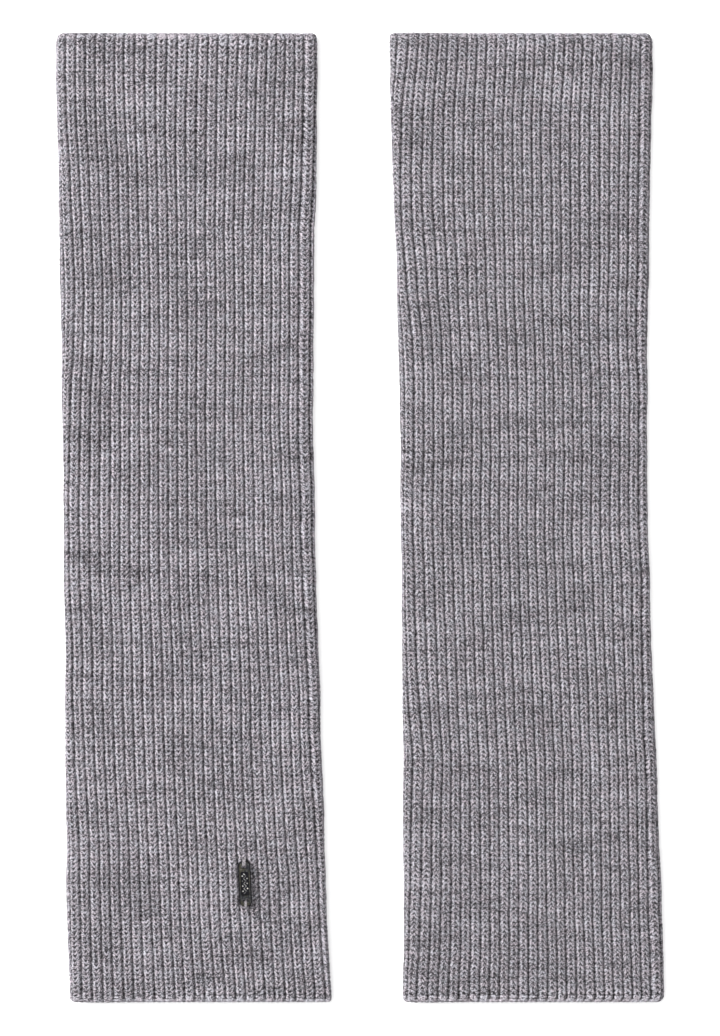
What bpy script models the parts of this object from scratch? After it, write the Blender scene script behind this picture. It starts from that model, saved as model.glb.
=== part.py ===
"""Pair of rib-knit arm warmers lying flat side by side, with a small metal badge sewn to one.

Metres, +Z up. X runs across the pair, +Y runs from the lower hems to the upper cuffs, and the
surface that the pair lies on is z = 0. The origin is on that surface, under the pair's middle.

Each warmer is one tube of thick rib knit, open at both ends and pressed flat, so that its upper
panel lies on its lower one. The knit turns back on itself in a rounded fold down each side, where
it stays a little thicker than in the middle because the fold springs open.
"""

import math

import bmesh
import bpy
import numpy as np

MM = 0.001
MERGE = 0.001 * MM

# The pair
LENGTH = 360.0 * MM
WALL = 2.2 * MM
MIDDLE_THICKNESS = 4.9 * MM
FOLD_THICKNESS = 5.6 * MM
FOLD_REACH = 16.0 * MM

# Rounded corners of the outline, and the rounded lip of each mouth
CORNER_LENGTH = 3.6 * MM
CORNER_INSET = 2.4 * MM
CORNER_TURN = 0.96
CORNER_SHARES = (0.5, 0.75)
LIP_RADIUS = 0.8 * MM

# How finely the tubes are divided
STATIONS = 13
LIP_STEPS = 2
FLAT_STEPS = 8
FOLD_STEPS = 8

# Half-way lines of the folds, in mm: up is measured from the middle of the length.
LEFT_OUTLINE = (
    # up, outer edge, inner edge
    (180.0, -113.3, -15.5),
    (130.0, -112.4, -15.9),
    (80.0, -111.4, -17.1),
    (30.0, -110.7, -17.2),
    (-20.0, -110.2, -16.2),
    (-70.0, -109.7, -14.4),
    (-120.0, -109.4, -13.1),
    (-150.0, -109.0, -11.7),
    (-180.0, -107.9, -10.6),
)
RIGHT_OUTLINE = (
    # up, inner edge, outer edge
    (180.0, 10.6, 109.0),
    (130.0, 11.6, 108.2),
    (80.0, 13.9, 107.1),
    (30.0, 14.7, 107.0),
    (-20.0, 15.2, 107.5),
    (-70.0, 15.5, 109.5),
    (-120.0, 16.0, 111.4),
    (-150.0, 15.8, 112.5),
    (-180.0, 15.9, 113.3),
)

# The badge: a metal plate with round-cornered ends, a sunk face and a sewing slot at each end
BADGE_LENGTH = 17.0 * MM
BADGE_WIDTH = 4.6 * MM
BADGE_THICKNESS = 1.1 * MM
BADGE_CORNER = 1.8 * MM
BADGE_EDGE = 0.2 * MM
BADGE_SHARP = math.radians(30.0)
BADGE_ACROSS = -42.6 * MM
BADGE_UP = -135.6 * MM
BADGE_LEAN = math.radians(2.5)
FACE_LENGTH = 8.8 * MM
FACE_WIDTH = 3.1 * MM
FACE_CORNER = 0.4 * MM
FACE_DEPTH = 0.35 * MM
SLOT_LENGTH = 2.3 * MM
SLOT_WIDTH = 1.3 * MM
SLOT_CENTRE = 6.25 * MM
ROUND_STEPS = 5
SEWN_GAP = 0.3 * MM


def clear_scene():
    for item in list(bpy.data.objects):
        bpy.data.objects.remove(item)


def new_collection(name):
    collection = bpy.data.collections.new(name)
    bpy.context.scene.collection.children.link(collection)
    return collection


def new_material(name, colour, roughness, metallic):
    material = bpy.data.materials.new(name)
    material.use_nodes = True
    material.diffuse_color = (*colour, 1.0)
    shader = material.node_tree.nodes["Principled BSDF"]
    shader.inputs["Base Color"].default_value = (*colour, 1.0)
    shader.inputs["Roughness"].default_value = roughness
    shader.inputs["Metallic"].default_value = metallic
    return material


def new_object(name, mesh, collection, material=None):
    item = bpy.data.objects.new(name, mesh)
    collection.objects.link(item)
    if material:
        mesh.materials.append(material)
    return item


def loft(skin, rings, closed=False):
    """Faces between each ring of vertices and the next, and from the last to the first if closed."""
    following = rings[1:] + rings[:1] if closed else rings[1:]
    for ring, after in zip(rings, following):
        for i in range(len(ring)):
            j = (i + 1) % len(ring)
            skin.faces.new((ring[i], after[i], after[j], ring[j]))


def finished(name, skin, collection, material):
    bmesh.ops.recalc_face_normals(skin, faces=skin.faces)
    mesh = bpy.data.meshes.new(name)
    skin.to_mesh(mesh)
    skin.free()
    mesh.shade_smooth()
    return new_object(name, mesh, collection, material)


# Arm warmers


def smooth_steps(count):
    """count + 1 values from 0 to 1, packed closer towards both ends."""
    return [(1.0 - math.cos(math.pi * i / count)) / 2.0 for i in range(count + 1)]


def edges_at(outline, up):
    """The two folds' places across, read from the outline's rows."""
    rows = np.array(outline[::-1]) * MM
    return tuple(float(np.interp(up, rows[:, 0], rows[:, side])) for side in (1, 2))


def corner_inset(up):
    """How far the outline's rounded corners draw it in at this height."""
    into = (abs(up) - LENGTH / 2.0 + CORNER_LENGTH) / CORNER_LENGTH
    if into <= 0.0:
        return 0.0
    return CORNER_INSET * (1.0 - math.sqrt(1.0 - min(CORNER_TURN, into) ** 2))


def wall_profile():
    """(up, depth) of every ring in turn: down the outer face, round the lower lip, up the inner
    face and round the upper lip. Depth is measured into the wall from its outer face."""
    end = LENGTH / 2.0
    straight = end - CORNER_LENGTH
    levels = [straight * (1.0 - 2.0 * i / (STATIONS - 1)) for i in range(STATIONS)]
    corner = [end - CORNER_LENGTH * share for share in CORNER_SHARES]
    levels = corner + levels + [-up for up in reversed(corner)]
    turns = [math.radians(90.0) * i / LIP_STEPS for i in range(LIP_STEPS + 1)]
    lip = [(LIP_RADIUS * (1.0 - math.sin(a)), LIP_RADIUS * (1.0 - math.cos(a))) for a in turns]
    lower_lip = [(back - end, depth) for back, depth in lip]
    lower_lip += [(up, WALL - depth) for up, depth in reversed(lower_lip)]
    downwards = [(up, 0.0) for up in levels] + lower_lip
    return downwards + [(-up, WALL - depth) for up, depth in downwards]


def panel_height(across, left, right):
    """Height of the upper panel's face: it rises towards each springy fold."""
    from_fold = min(across - left, right - across) - FOLD_THICKNESS / 2.0
    share = max(0.0, 1.0 - from_fold / FOLD_REACH)
    rise = share * share * (3.0 - 2.0 * share)
    return MIDDLE_THICKNESS + (FOLD_THICKNESS - MIDDLE_THICKNESS) * rise


def ring_points(left, right, up, depth):
    """One closed section, depth into the wall: under, right fold, over and left fold in turn."""
    centre = FOLD_THICKNESS / 2.0
    radius = centre - depth
    near, far = left + centre, right - centre
    across = [near + (far - near) * share for share in smooth_steps(FLAT_STEPS)]
    under = [(x, depth) for x in across]
    over = [(x, panel_height(x, left, right) - depth) for x in reversed(across)]
    turns = [math.pi * i / FOLD_STEPS for i in range(1, FOLD_STEPS)]
    right_fold = [(far + radius * math.sin(a), centre - radius * math.cos(a)) for a in turns]
    left_fold = [(near - radius * math.sin(a), centre + radius * math.cos(a)) for a in turns]
    return [(x, up, z) for x, z in under + right_fold + over + left_fold]


def arm_warmer(name, outline, collection, material):
    """A flattened tube wall: rings lofted along the closed profile of the wall."""
    skin = bmesh.new()
    rings = []
    for up, depth in wall_profile():
        left, right = edges_at(outline, up)
        inset = corner_inset(up)
        points = ring_points(left + inset, right - inset, up, depth)
        rings.append([skin.verts.new(point) for point in points])
    loft(skin, rings, closed=True)
    return finished(name, skin, collection, material)


# Badge


def rounded_outline(length, width, corner):
    """Corner arcs of an upright rounded rectangle, counter-clockwise."""
    points = []
    for turn, (sx, sy) in enumerate(((1, 1), (-1, 1), (-1, -1), (1, -1))):
        centre_x = sx * (width / 2.0 - corner)
        centre_y = sy * (length / 2.0 - corner)
        for i in range(ROUND_STEPS + 1):
            angle = math.pi / 2.0 * (turn + i / ROUND_STEPS)
            points.append((centre_x + corner * math.cos(angle), centre_y + corner * math.sin(angle)))
    return points


def plate_layers():
    """(length, width, corner, height) of the plate's rings, from its underside to its sunk face."""
    edge = 2.0 * BADGE_EDGE
    small = (BADGE_LENGTH - edge, BADGE_WIDTH - edge, BADGE_CORNER - BADGE_EDGE)
    full = (BADGE_LENGTH, BADGE_WIDTH, BADGE_CORNER)
    face = (FACE_LENGTH, FACE_WIDTH, FACE_CORNER)
    floor = (FACE_LENGTH - edge, FACE_WIDTH - edge, FACE_CORNER - BADGE_EDGE)
    return (
        (*small, 0.0),
        (*full, BADGE_EDGE),
        (*full, BADGE_THICKNESS - BADGE_EDGE),
        (*small, BADGE_THICKNESS),
        (*face, BADGE_THICKNESS),
        (*floor, BADGE_THICKNESS - FACE_DEPTH),
    )


def slot_cutter(name, direction, collection):
    """A solid of one sewing slot, taller than the plate: a straight bar with rounded ends."""
    skin = bmesh.new()
    outline = rounded_outline(SLOT_WIDTH, SLOT_LENGTH, SLOT_WIDTH / 2.0)
    rings = []
    for height in (-BADGE_THICKNESS, 2.0 * BADGE_THICKNESS):
        rings.append([skin.verts.new((x, y + direction * SLOT_CENTRE, height)) for x, y in outline])
    loft(skin, rings)
    skin.faces.new(rings[0])
    skin.faces.new(rings[1])
    bmesh.ops.remove_doubles(skin, verts=skin.verts, dist=MERGE)
    cutter = finished(name, skin, collection, None)
    cutter.hide_render = True
    cutter.display_type = "WIRE"
    return cutter


def badge_plate(collection, cutters, material):
    skin = bmesh.new()
    rings = []
    for length, width, corner, height in plate_layers():
        outline = rounded_outline(length, width, corner)
        rings.append([skin.verts.new((x, y, height)) for x, y in outline])
    loft(skin, rings)
    skin.faces.new(rings[0])
    skin.faces.new(rings[-1])
    plate = finished("badge_plate", skin, collection, material)
    plate.data.set_sharp_from_angle(angle=BADGE_SHARP)

    for name, direction in (("upper slot cutter", 1), ("lower slot cutter", -1)):
        cutter = slot_cutter(name, direction, cutters)
        cutter.parent = plate
        cut = plate.modifiers.new(name.replace(" cutter", ""), "BOOLEAN")
        cut.operation = "DIFFERENCE"
        cut.solver = "EXACT"
        cut.object = cutter

    left, right = edges_at(LEFT_OUTLINE, BADGE_UP)
    height = panel_height(BADGE_ACROSS, left, right) + SEWN_GAP
    plate.location = (BADGE_ACROSS, BADGE_UP, height)
    plate.rotation_euler = (0.0, 0.0, BADGE_LEAN)
    return plate


def main():
    clear_scene()
    parts = new_collection("knitted arm warmers")
    cutters = new_collection("cutters")
    knit = new_material("heather grey rib knit", (0.33, 0.31, 0.34), 0.95, 0.0)
    metal = new_material("dark gunmetal", (0.09, 0.09, 0.1), 0.38, 1.0)
    arm_warmer("left_arm_warmer", LEFT_OUTLINE, parts, knit)
    arm_warmer("right_arm_warmer", RIGHT_OUTLINE, parts, knit)
    badge_plate(parts, cutters, metal)


main()
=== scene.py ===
"""Look of a pair of rib-knit arm warmers lying flat side by side, a small metal badge on the left one.

The frame is the CAD's: +Y runs from the bound-off hems to the cast-on cuffs, +Z up off the surface.
Lengths in the code are in millimetres, and they turn into metres where a mesh is made.
"""

import math

import bmesh
import bpy
import numpy as np
from mathutils import Matrix, Vector
from mathutils.bvhtree import BVHTree


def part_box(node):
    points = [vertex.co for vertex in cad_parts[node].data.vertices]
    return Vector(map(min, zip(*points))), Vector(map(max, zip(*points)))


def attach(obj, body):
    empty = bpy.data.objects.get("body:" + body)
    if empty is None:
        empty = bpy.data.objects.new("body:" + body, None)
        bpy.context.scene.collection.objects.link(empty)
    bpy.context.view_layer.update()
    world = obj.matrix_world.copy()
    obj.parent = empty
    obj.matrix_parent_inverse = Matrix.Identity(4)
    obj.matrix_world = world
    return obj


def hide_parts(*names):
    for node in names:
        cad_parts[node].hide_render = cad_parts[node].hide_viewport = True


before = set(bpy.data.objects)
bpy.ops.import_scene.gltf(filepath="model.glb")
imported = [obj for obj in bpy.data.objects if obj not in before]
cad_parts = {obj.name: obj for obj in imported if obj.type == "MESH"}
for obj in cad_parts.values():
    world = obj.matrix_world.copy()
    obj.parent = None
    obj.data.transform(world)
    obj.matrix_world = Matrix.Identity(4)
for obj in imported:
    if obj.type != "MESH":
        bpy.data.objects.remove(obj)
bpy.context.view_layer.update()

MM = 0.001

# The knit tubes. A corner of the outline is CORNER_SHARE as long as its inset, and goes CORNER_TURN of
# the way round its quarter circle. The folds are felt for at FOLD_PROBES heights and follow a curve
# of degree FOLD_CURVE through them, and they stray by EDGE_WAVES, a size and a length each.
HALF_LENGTH = 180.0
FOLD_RADIUS = 2.8
CORNER_LENGTH = 3.6
CORNER_SHARE = 1.5
CORNER_TURN = 0.96
FOLD_PROBES = 25
FOLD_CURVE = 6
EDGE_INSET = 0.1
EDGE_WAVES = ((0.12, 61.0), (0.08, 37.0), (0.05, 23.0), (0.03, 11.0))

# The upper panel's lie: how far it sinks under the full height of the folds in the middle, how much
# higher its left shoulder is and how far that reaches, and how far it slopes off at each fold.
MIDDLE_DROP = 0.95
SHOULDER_RISE = 0.9
SHOULDER_START = 5.0
SHOULDER_LENGTH = 20.0
LEFT_SLOPE = (0.4, 9.0)
RIGHT_SLOPE = (0.4, 14.0)
TROUGH_MARGIN = 9.0

# The rib: ribs all round, courses up the tube, and the ribs that the upper panel takes. The knit
# tables place the first valley that lies flat inside each fold, with FLAT_RIBS between the two. These
# narrow a little towards the right, and the rib that turns over each fold is wider.
RIBS = 54
COURSES = 202
COURSE_PITCH = 1.77
COURSE_UNEVEN = 0.02
UPPER_RIBS = 28
FLAT_RIBS = 24
RIGHT_RIB_SHARE = 0.95
LEFT_RIB_SHARE = 1.05
RIGHT_FOLD_SHARE = 1.42
LEFT_FOLD_SHARE = 1.17

# How far valleys stray sideways, on STRAY_ROWS heights: size, heights and ribs from knot to knot
STRAY_ROWS = 181
VALLEY_STRAYS = ((0.17, 11.0, 1.0), (0.22, 16.0, 4.0))

# How far the knit goes short of each end, where the hem's chain and the cuff's lip take over
HEM_CHAIN = 1.35
CUFF_LIP = 1.0

# Places across one rib, and how deep the knit lies under its crest there in mm: along the legs of a
# course and in the gap above them, and how far the valley's sides scallop from one to the other.
ACROSS_RIB = (0.0, 0.1, 0.25, 0.4, 0.5, 0.6, 0.75, 0.9)
LEG_DEPTH = (1.1, 0.52, 0.0, 0.03, 0.18, 0.03, 0.0, 0.52)
GAP_DEPTH = (1.35, 0.8, 0.13, 0.22, 1.0, 0.22, 0.13, 0.8)
SCALLOP = (0.0, -0.04, 0.0, 0.0, 0.0, 0.0, 0.0, 0.04)
PER_RIB = len(ACROSS_RIB)
MIDDLE_COLUMN = PER_RIB // 2
SEAM_DEPTH = 0.12

# How uneven the stitches are: the holes' depth as a share, and the rest in mm
HOLE_VARIES = 0.45
LEG_VARIES = 0.05
PLUMPNESS = 0.12
VALLEY_VARIES = 0.16
HEIGHT_VARIES = 0.07
COURSE_DRIFT = 0.45

# The last courses: a hole at the foot of each valley of the hem, and at the cuff softer valleys and a
# faint groove under the lip. The reaches are in courses.
HEM_HOLE = 0.8
HEM_HOLE_REACH = 0.6
CUFF_SOFTENED = 0.45
CUFF_SOFT_REACH = 1.6
CUFF_GROOVE = 0.25
CUFF_GROOVE_REACH = 0.45

# Columns of the knit tables, and for each bow its share of the way from the left edge
LEFT_INSET, RIGHT_INSET, PITCH = 1, 2, 6
BOWS = ((3, 0.25), (4, 0.5), (5, 0.75))
BOW_SPACING = 0.25

LEFT_KNIT = (
    # up, first valley inside the left edge, first valley inside the right edge, shift to the right a
    # quarter of the way from the left edge, half way and three quarters of the way, course pitch
    (180.0, 3.5, 4.9, -1.0, 0.1, 1.0, 1.85),
    (160.0, 3.8, 5.1, -1.2, -0.3, 0.1, 1.84),
    (144.0, 3.6, 5.1, -1.0, -0.9, -0.2, 1.83),
    (125.0, 4.7, 5.6, -0.9, -1.2, -0.6, 1.82),
    (105.0, 5.2, 5.9, -0.7, -1.0, -0.4, 1.81),
    (86.0, 5.9, 5.6, -1.0, -1.1, -0.4, 1.80),
    (69.0, 4.9, 5.5, -0.5, -0.6, -0.3, 1.79),
    (51.0, 4.1, 5.7, -0.2, -0.5, -0.2, 1.79),
    (35.0, 3.2, 5.7, 0.3, -0.1, 0.0, 1.78),
    (0.0, 1.9, 5.5, 0.4, 0.1, 0.3, 1.77),
    (-36.0, 2.9, 5.0, -0.2, -0.5, 0.1, 1.76),
    (-71.0, 3.1, 4.5, -0.2, -0.2, -0.4, 1.75),
    (-107.0, 4.5, 4.0, -0.8, -1.2, -1.2, 1.73),
    (-142.0, 5.4, 2.9, -0.6, -1.2, -0.8, 1.71),
    (-180.0, 4.6, 2.2, -0.2, -0.8, -0.8, 1.70),
)
RIGHT_KNIT = (
    # up, first valley inside the left edge, first valley inside the right edge, shift to the right a
    # quarter of the way from the left edge, half way and three quarters of the way, course pitch
    (180.0, 7.6, 4.4, -0.6, -0.8, -0.4, 1.72),
    (160.0, 5.1, 5.3, 0.3, -0.4, -0.4, 1.73),
    (144.0, 4.1, 4.7, 0.3, -0.7, -0.7, 1.74),
    (125.0, 3.1, 4.7, 0.6, 0.2, -0.3, 1.75),
    (105.0, 2.8, 4.2, 1.0, -0.2, -0.3, 1.76),
    (86.0, 3.7, 4.5, 0.3, -0.8, -0.7, 1.77),
    (69.0, 5.3, 4.1, -0.2, -0.6, -0.9, 1.77),
    (51.0, 5.7, 3.7, -0.3, -1.1, -1.1, 1.77),
    (18.0, 4.9, 3.6, 0.2, -0.8, -0.7, 1.77),
    (-18.0, 4.6, 3.5, -0.1, -1.1, -1.7, 1.78),
    (-53.0, 5.6, 3.9, -0.1, -0.3, 0.0, 1.78),
    (-88.0, 7.8, 4.6, -0.9, -0.4, -0.3, 1.76),
    (-107.0, 7.3, 4.3, -0.2, -0.2, -0.7, 1.75),
    (-142.0, 6.6, 5.5, 0.4, 0.2, -0.2, 1.74),
    (-180.0, 5.0, 4.8, 0.8, 0.5, 0.0, 1.73),
)
LEFT_CORNERS = (
    # inset of the outline's corner in mm: at the hem, at the cuff
    (1.1, 2.2),
    (0.8, 1.6),
)
RIGHT_CORNERS = (
    # inset of the outline's corner in mm: at the hem, at the cuff
    (1.1, 1.0),
    (2.0, 2.2),
)
LEFT_TROUGHS = (
    # x, up, reach across, reach up, depth
    (-97.0, 168.0, 6.0, 26.0, 0.5),
    (-95.0, 5.0, 8.0, 40.0, 0.3),
    (-60.0, 30.0, 22.0, 30.0, 0.25),
    (-40.0, 125.0, 14.0, 22.0, -0.3),
    (-66.0, -70.0, 20.0, 24.0, -0.25),
    (-84.0, -150.0, 12.0, 20.0, -0.3),
    (-24.0, -40.0, 7.0, 60.0, 0.2),
)
RIGHT_TROUGHS = (
    # x, up, reach across, reach up, depth
    (30.0, 160.0, 10.0, 24.0, 0.45),
    (34.0, 38.0, 9.0, 12.0, 0.4),
    (40.0, 90.0, 20.0, 26.0, 0.25),
    (74.0, -25.0, 22.0, 30.0, -0.3),
    (82.0, -100.0, 10.0, 16.0, 0.3),
    (72.0, -150.0, 14.0, 20.0, -0.3),
    (38.0, -160.0, 8.0, 22.0, 0.3),
)

# The badge: its lean to the left, its corners and the straight part of its half width and half length,
# how the knit is pressed under it, and its trim, measured from the plate's middle and its top face.
# Each point of a thread splays THREAD_SPLAY further out than the one before.
BADGE_LEAN = 2.5
PLATE_CORNER = 1.8
PLATE_STRAIGHT = (0.5, 6.7)
PRESSED_HALF_WIDTH = 2.5
PRESSED_HALF_LENGTH = 8.6
PRESSED_GAP = 0.4
PRESSED_RISE = 4.0
PRESSED_REACH = 2.5
PRESSED_ABOVE = 3.0
FACE_HALF_LENGTH = 3.75
ZIGZAG_BENDS = 8
ZIGZAG_REACH = 0.5
RIDGE_HEIGHT = -0.26
RIDGE_RADIUS = 0.15
STUD_RADIUS = 0.27
STUD_SHARE = 1.7
STUD_FLATNESS = 0.45
THREAD_STRANDS = {"upper": 3, "lower": 2}
THREAD_SPREAD = 0.42
THREAD_SPLAY = 0.12 / 7.0
THREAD_RADIUS = 0.2
THREAD_SEED = 7
THREAD_LOOP = (
    # along from the middle, over the top face
    (6.55, -1.5),
    (6.56, -0.7),
    (6.68, -0.05),
    (7.2, 0.2),
    (7.9, 0.2),
    (8.45, 0.05),
    (8.75, -0.5),
    (8.85, -1.3),
    (8.85, -1.9),
)


# Small tools for curves and uneven fields


def ease(share):
    share = np.clip(share, 0.0, 1.0)
    return share * share * (3.0 - 2.0 * share)


def wander(rng, rows, columns, row_step, column_step):
    """A smooth random field between -1 and 1: random knots, eased from one to the next."""
    knots = rng.uniform(-1.0, 1.0, (int(rows / row_step) + 3, int(columns / column_step) + 3))
    along = np.arange(rows) / row_step
    across = np.arange(columns) / column_step
    i, j = along.astype(int), across.astype(int)
    up, right = ease(along - i)[:, None], ease(across - j)[None, :]
    lower = knots[np.ix_(i, j)] * (1.0 - right) + knots[np.ix_(i, j + 1)] * right
    upper = knots[np.ix_(i + 1, j)] * (1.0 - right) + knots[np.ix_(i + 1, j + 1)] * right
    return lower * (1.0 - up) + upper * up


def closed_wander(rng, rows, columns, row_step, column_step):
    """As wander, but its last columns meet its first, for a field that goes all round a tube."""
    field = wander(rng, rows, 2 * columns, row_step, column_step)
    share = ease(np.arange(columns) / (columns - 1.0))[None, :]
    return field[:, :columns] * share + field[:, columns:] * (1.0 - share)


def read_table(table, column, up):
    """A table's column at any height, with its corners rounded off."""
    rows = np.array(table[::-1])
    spread = np.linspace(-14.0, 14.0, 15)
    weight = np.exp(-0.5 * (spread / 6.0) ** 2)
    value = sum(w * np.interp(up + s, rows[:, 0], rows[:, column]) for s, w in zip(spread, weight))
    return value / weight.sum()


# The tube's form


def fold_lines(node):
    """Curves of the CAD solid's left and right edges against height, felt for from both sides."""
    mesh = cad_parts[node].data
    solid = BVHTree.FromPolygons(
        [vertex.co / MM for vertex in mesh.vertices], [face.vertices for face in mesh.polygons]
    )
    straight = HALF_LENGTH - CORNER_LENGTH - 0.5
    heights = np.linspace(-straight, straight, FOLD_PROBES)
    edges = []
    for side in (-1.0, 1.0):
        starts = [Vector((side * 2.0 * HALF_LENGTH, up, FOLD_RADIUS)) for up in heights]
        edges.append([solid.ray_cast(start, Vector((-side, 0.0, 0.0)))[0].x for start in starts])
    return [np.polyfit(heights / HALF_LENGTH, edge, FOLD_CURVE) for edge in edges]


def corner_inset(up, hem_inset, cuff_inset):
    """How far the outline draws in at each height, towards the rounded corners of one side."""
    inset = np.where(up < 0.0, hem_inset, cuff_inset)
    length = CORNER_SHARE * inset
    into = (np.abs(up) - HALF_LENGTH + length) / length
    return inset * (1.0 - np.sqrt(1.0 - np.clip(into, 0.0, CORNER_TURN) ** 2))


class KnitTube:
    """One flattened tube: it turns rib numbers and heights into places on its skin."""

    def __init__(self, node, knit, chevron, corners, troughs, seed):
        self.rng = np.random.default_rng(seed)
        self.node = node
        self.knit = knit
        self.chevron = chevron
        self.corners = corners
        self.troughs = troughs
        self.fits = fold_lines(node)
        self.sway = self.rng.uniform(0.0, 2.0 * math.pi, (2, len(EDGE_WAVES)))
        self.valley_strays = self.stray_field()

    def stray_field(self):
        """How far each valley strays sideways, on a grid of heights by ribs."""
        own, shared = (
            size * closed_wander(self.rng, STRAY_ROWS, RIBS, row_step, rib_step)
            for size, row_step, rib_step in VALLEY_STRAYS
        )
        return own + shared

    def edges(self, up):
        """The left and right edges at each height, a little wavy, with the ends' corners rounded."""
        sides = []
        for fit, sway, inward, corner in zip(self.fits, self.sway, (1.0, -1.0), self.corners):
            edge = np.polyval(fit, up / HALF_LENGTH)
            edge = edge + inward * (corner_inset(up, *corner) + EDGE_INSET)
            for (size, length), phase in zip(EDGE_WAVES, sway):
                edge = edge + size * np.sin(2.0 * math.pi * up / length + phase)
            sides.append(edge)
        return sides

    def valleys(self, up):
        """Distance round the ring of every rib's first valley at each height; shape (rows, RIBS + 1)."""
        left, right = (edge[:, None] for edge in self.edges(up))
        left_inset = read_table(self.knit, LEFT_INSET, up)[:, None]
        right_inset = read_table(self.knit, RIGHT_INSET, up)[:, None]
        between = right - left - left_inset - right_inset
        quarter = math.pi / 2.0 * FOLD_RADIUS
        flat = right - left - 2.0 * FOLD_RADIUS
        number = np.arange(FLAT_RIBS + 1)[None, :]
        slope = (LEFT_RIB_SHARE - RIGHT_RIB_SHARE) / (2.0 * FLAT_RIBS)
        inside = right_inset + between * (RIGHT_RIB_SHARE * number + slope * number**2) / FLAT_RIBS
        inside = inside - self.bow(up, 1.0 - number / FLAT_RIBS)
        from_left = np.clip((right - left - inside) / FOLD_RADIUS, 0.0, 1.0)
        on_fold = quarter + flat + FOLD_RADIUS * (math.pi / 2.0 - np.arccos(1.0 - from_left))
        around = np.where(from_left < 1.0, on_fold, quarter + inside - FOLD_RADIUS)
        pitch = between / FLAT_RIBS
        first = around[:, :1] - RIGHT_FOLD_SHARE * pitch
        last = around[:, -1:] + LEFT_FOLD_SHARE * pitch
        shown = np.concatenate([first, around, last], axis=1)
        whole = 4.0 * quarter + 2.0 * flat
        hidden_ribs = RIBS - shown.shape[1] + 1
        share = np.arange(1, hidden_ribs + 1)[None, :] / hidden_ribs
        hidden = shown[:, -1:] + share * (shown[:, :1] + whole - shown[:, -1:])
        result = np.concatenate([shown, hidden], axis=1)
        heights = np.linspace(-HALF_LENGTH, HALF_LENGTH, STRAY_ROWS)
        stray = [np.interp(up, heights, self.valley_strays[:, k]) for k in range(RIBS)]
        result[:, 1:RIBS] += np.array(stray[1:]).T
        return result

    def bow(self, up, share):
        """How far the flat valleys shift to the right, at each share of the way from the left edge."""
        shift = 0.0
        for column, knot in BOWS:
            weight = np.clip(1.0 - np.abs(share - knot) / BOW_SPACING, 0.0, 1.0)
            shift = shift + weight * read_table(self.knit, column, up)[:, None]
        return shift

    def around(self, up, scallop):
        """Distance round the ring of every column of points; shape (rows, RIBS * PER_RIB)."""
        valleys = self.valleys(up)
        share = np.array(ACROSS_RIB)[None, None, :] + scallop
        first, width = valleys[:, :-1, None], np.diff(valleys, axis=1)[:, :, None]
        return (first + width * share).reshape(len(up), -1)

    def swell(self, x, up):
        """Soft troughs and swells of the upper panel."""
        height = np.zeros(np.broadcast(x, up).shape)
        for centre_x, centre_up, reach_x, reach_up, depth in self.troughs:
            away = ((x - centre_x) / reach_x) ** 2 + ((up - centre_up) / reach_up) ** 2
            height -= depth * np.exp(-away)
        return height

    def drop(self, x, from_left, from_right, up):
        """How far the upper panel lies under the full height of the folds."""
        drop = MIDDLE_DROP - SHOULDER_RISE * ease(1.0 - (from_left - SHOULDER_START) / SHOULDER_LENGTH)
        for distance, (slope, reach) in ((from_left, LEFT_SLOPE), (from_right, RIGHT_SLOPE)):
            drop = drop + slope * np.clip(1.0 - distance / reach, 0.0, 1.0) ** 2
        inner = ease(np.minimum(from_left, from_right) / TROUGH_MARGIN)
        return drop - inner * self.swell(x, up)

    def skin(self, up, around, depth, rise):
        """Points of the ring at each row's height, depth under the smooth skin and rise further up."""
        left, right = (edge[:, None] for edge in self.edges(up))
        near, far = left + FOLD_RADIUS, right - FOLD_RADIUS
        flat = far - near
        quarter = math.pi / 2.0 * FOLD_RADIUS
        a = np.mod(around, 4.0 * quarter + 2.0 * flat)
        on_top = (a > quarter) & (a < quarter + flat)
        on_left = (a >= quarter + flat) & (a <= 3.0 * quarter + flat)
        below = (a > 3.0 * quarter + flat) & (a < 3.0 * quarter + 2.0 * flat)
        passed = np.where(on_left, flat, np.where(a >= 3.0 * quarter + 2.0 * flat, 2.0 * flat, 0.0))
        turn = (a - passed) / FOLD_RADIUS
        turn = np.where(on_top, math.pi / 2.0, np.where(below, -math.pi / 2.0, turn))
        centre = np.where(on_left, near, far)
        centre = np.where(on_top, far - (a - quarter), centre)
        centre = np.where(below, near + (a - 3.0 * quarter - flat), centre)
        reach = FOLD_RADIUS - depth
        x = centre + reach * np.cos(turn)
        z = FOLD_RADIUS + reach * np.sin(turn)
        upper = np.clip(np.sin(turn), 0.0, 1.0)
        z = z - upper * self.drop(x, x - near, far - x, up[:, None])
        return np.stack([x, up[:, None] + rise, z], axis=-1)


def course_heights(tube):
    """Height of every row of points: two a course, from the hem's chain to the cuff's lip."""
    start, end = HEM_CHAIN - HALF_LENGTH, HALF_LENGTH - CUFF_LIP
    rows = np.arange(2 * COURSES)
    guess = start + (end - start) * (rows + 0.5) / (2 * COURSES)
    step = read_table(tube.knit, PITCH, guess)
    step *= 1.0 + COURSE_UNEVEN * wander(tube.rng, 2 * COURSES, 1, 13.0, 1.0)[:, 0]
    reached = np.concatenate([[0.0], np.cumsum(step)])
    return start + (end - start) * reached / reached[-1]


def courses_from_ends(count):
    """How many courses each row is from the hem's end of the knit, and from the cuff's."""
    from_hem = np.arange(count) / 2.0
    return from_hem, from_hem[::-1]


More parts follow.
